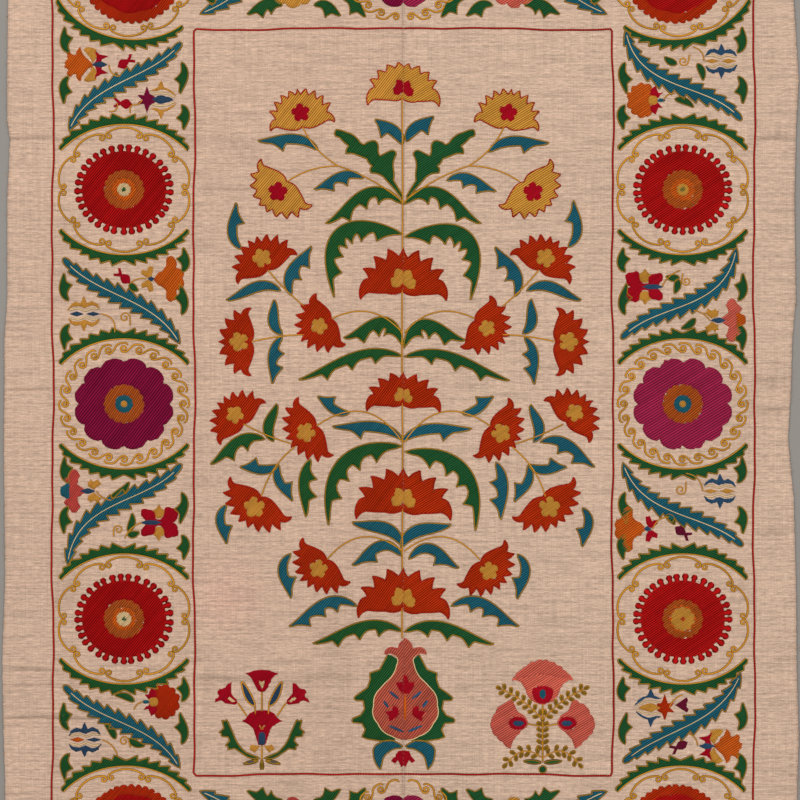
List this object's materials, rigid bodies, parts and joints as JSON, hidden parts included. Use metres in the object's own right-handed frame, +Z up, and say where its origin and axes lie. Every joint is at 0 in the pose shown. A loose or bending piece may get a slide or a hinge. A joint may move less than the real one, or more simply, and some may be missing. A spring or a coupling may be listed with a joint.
{
  "type": "suzani embroidered textile",
  "caption": "Flat cotton hanging or cover of joined panels, embroidered in silk with a flowering tree inside a roundel border.",
  "frame": {"origin": "middle of the cloth's underside", "axes": "+Y along the length to the top of the design, +X across to the right, +Z up out of the embroidered face"},
  "size_m": [1.116, 1.55, 0.0022],
  "materials": {
    "ground_left": "undyed cotton in plain weave with slubs, embroidered in couched silk",
    "ground_right": "undyed cotton in plain weave with slubs, embroidered in couched silk",
    "silk_red": "couched silk, soft sheen",
    "silk_orange": "couched silk, soft sheen",
    "silk_purple": "couched silk, soft sheen",
    "silk_pink": "couched silk, soft sheen",
    "silk_yellow": "couched silk, soft sheen",
    "silk_green": "couched silk, soft sheen",
    "silk_teal": "couched silk, soft sheen",
    "silk_outline": "silk chain stitch in lines"
  },
  "bodies": {
    "root": {"panel_left": "ground_left", "panel_right": "ground_right"}
  },
  "joints": []
}
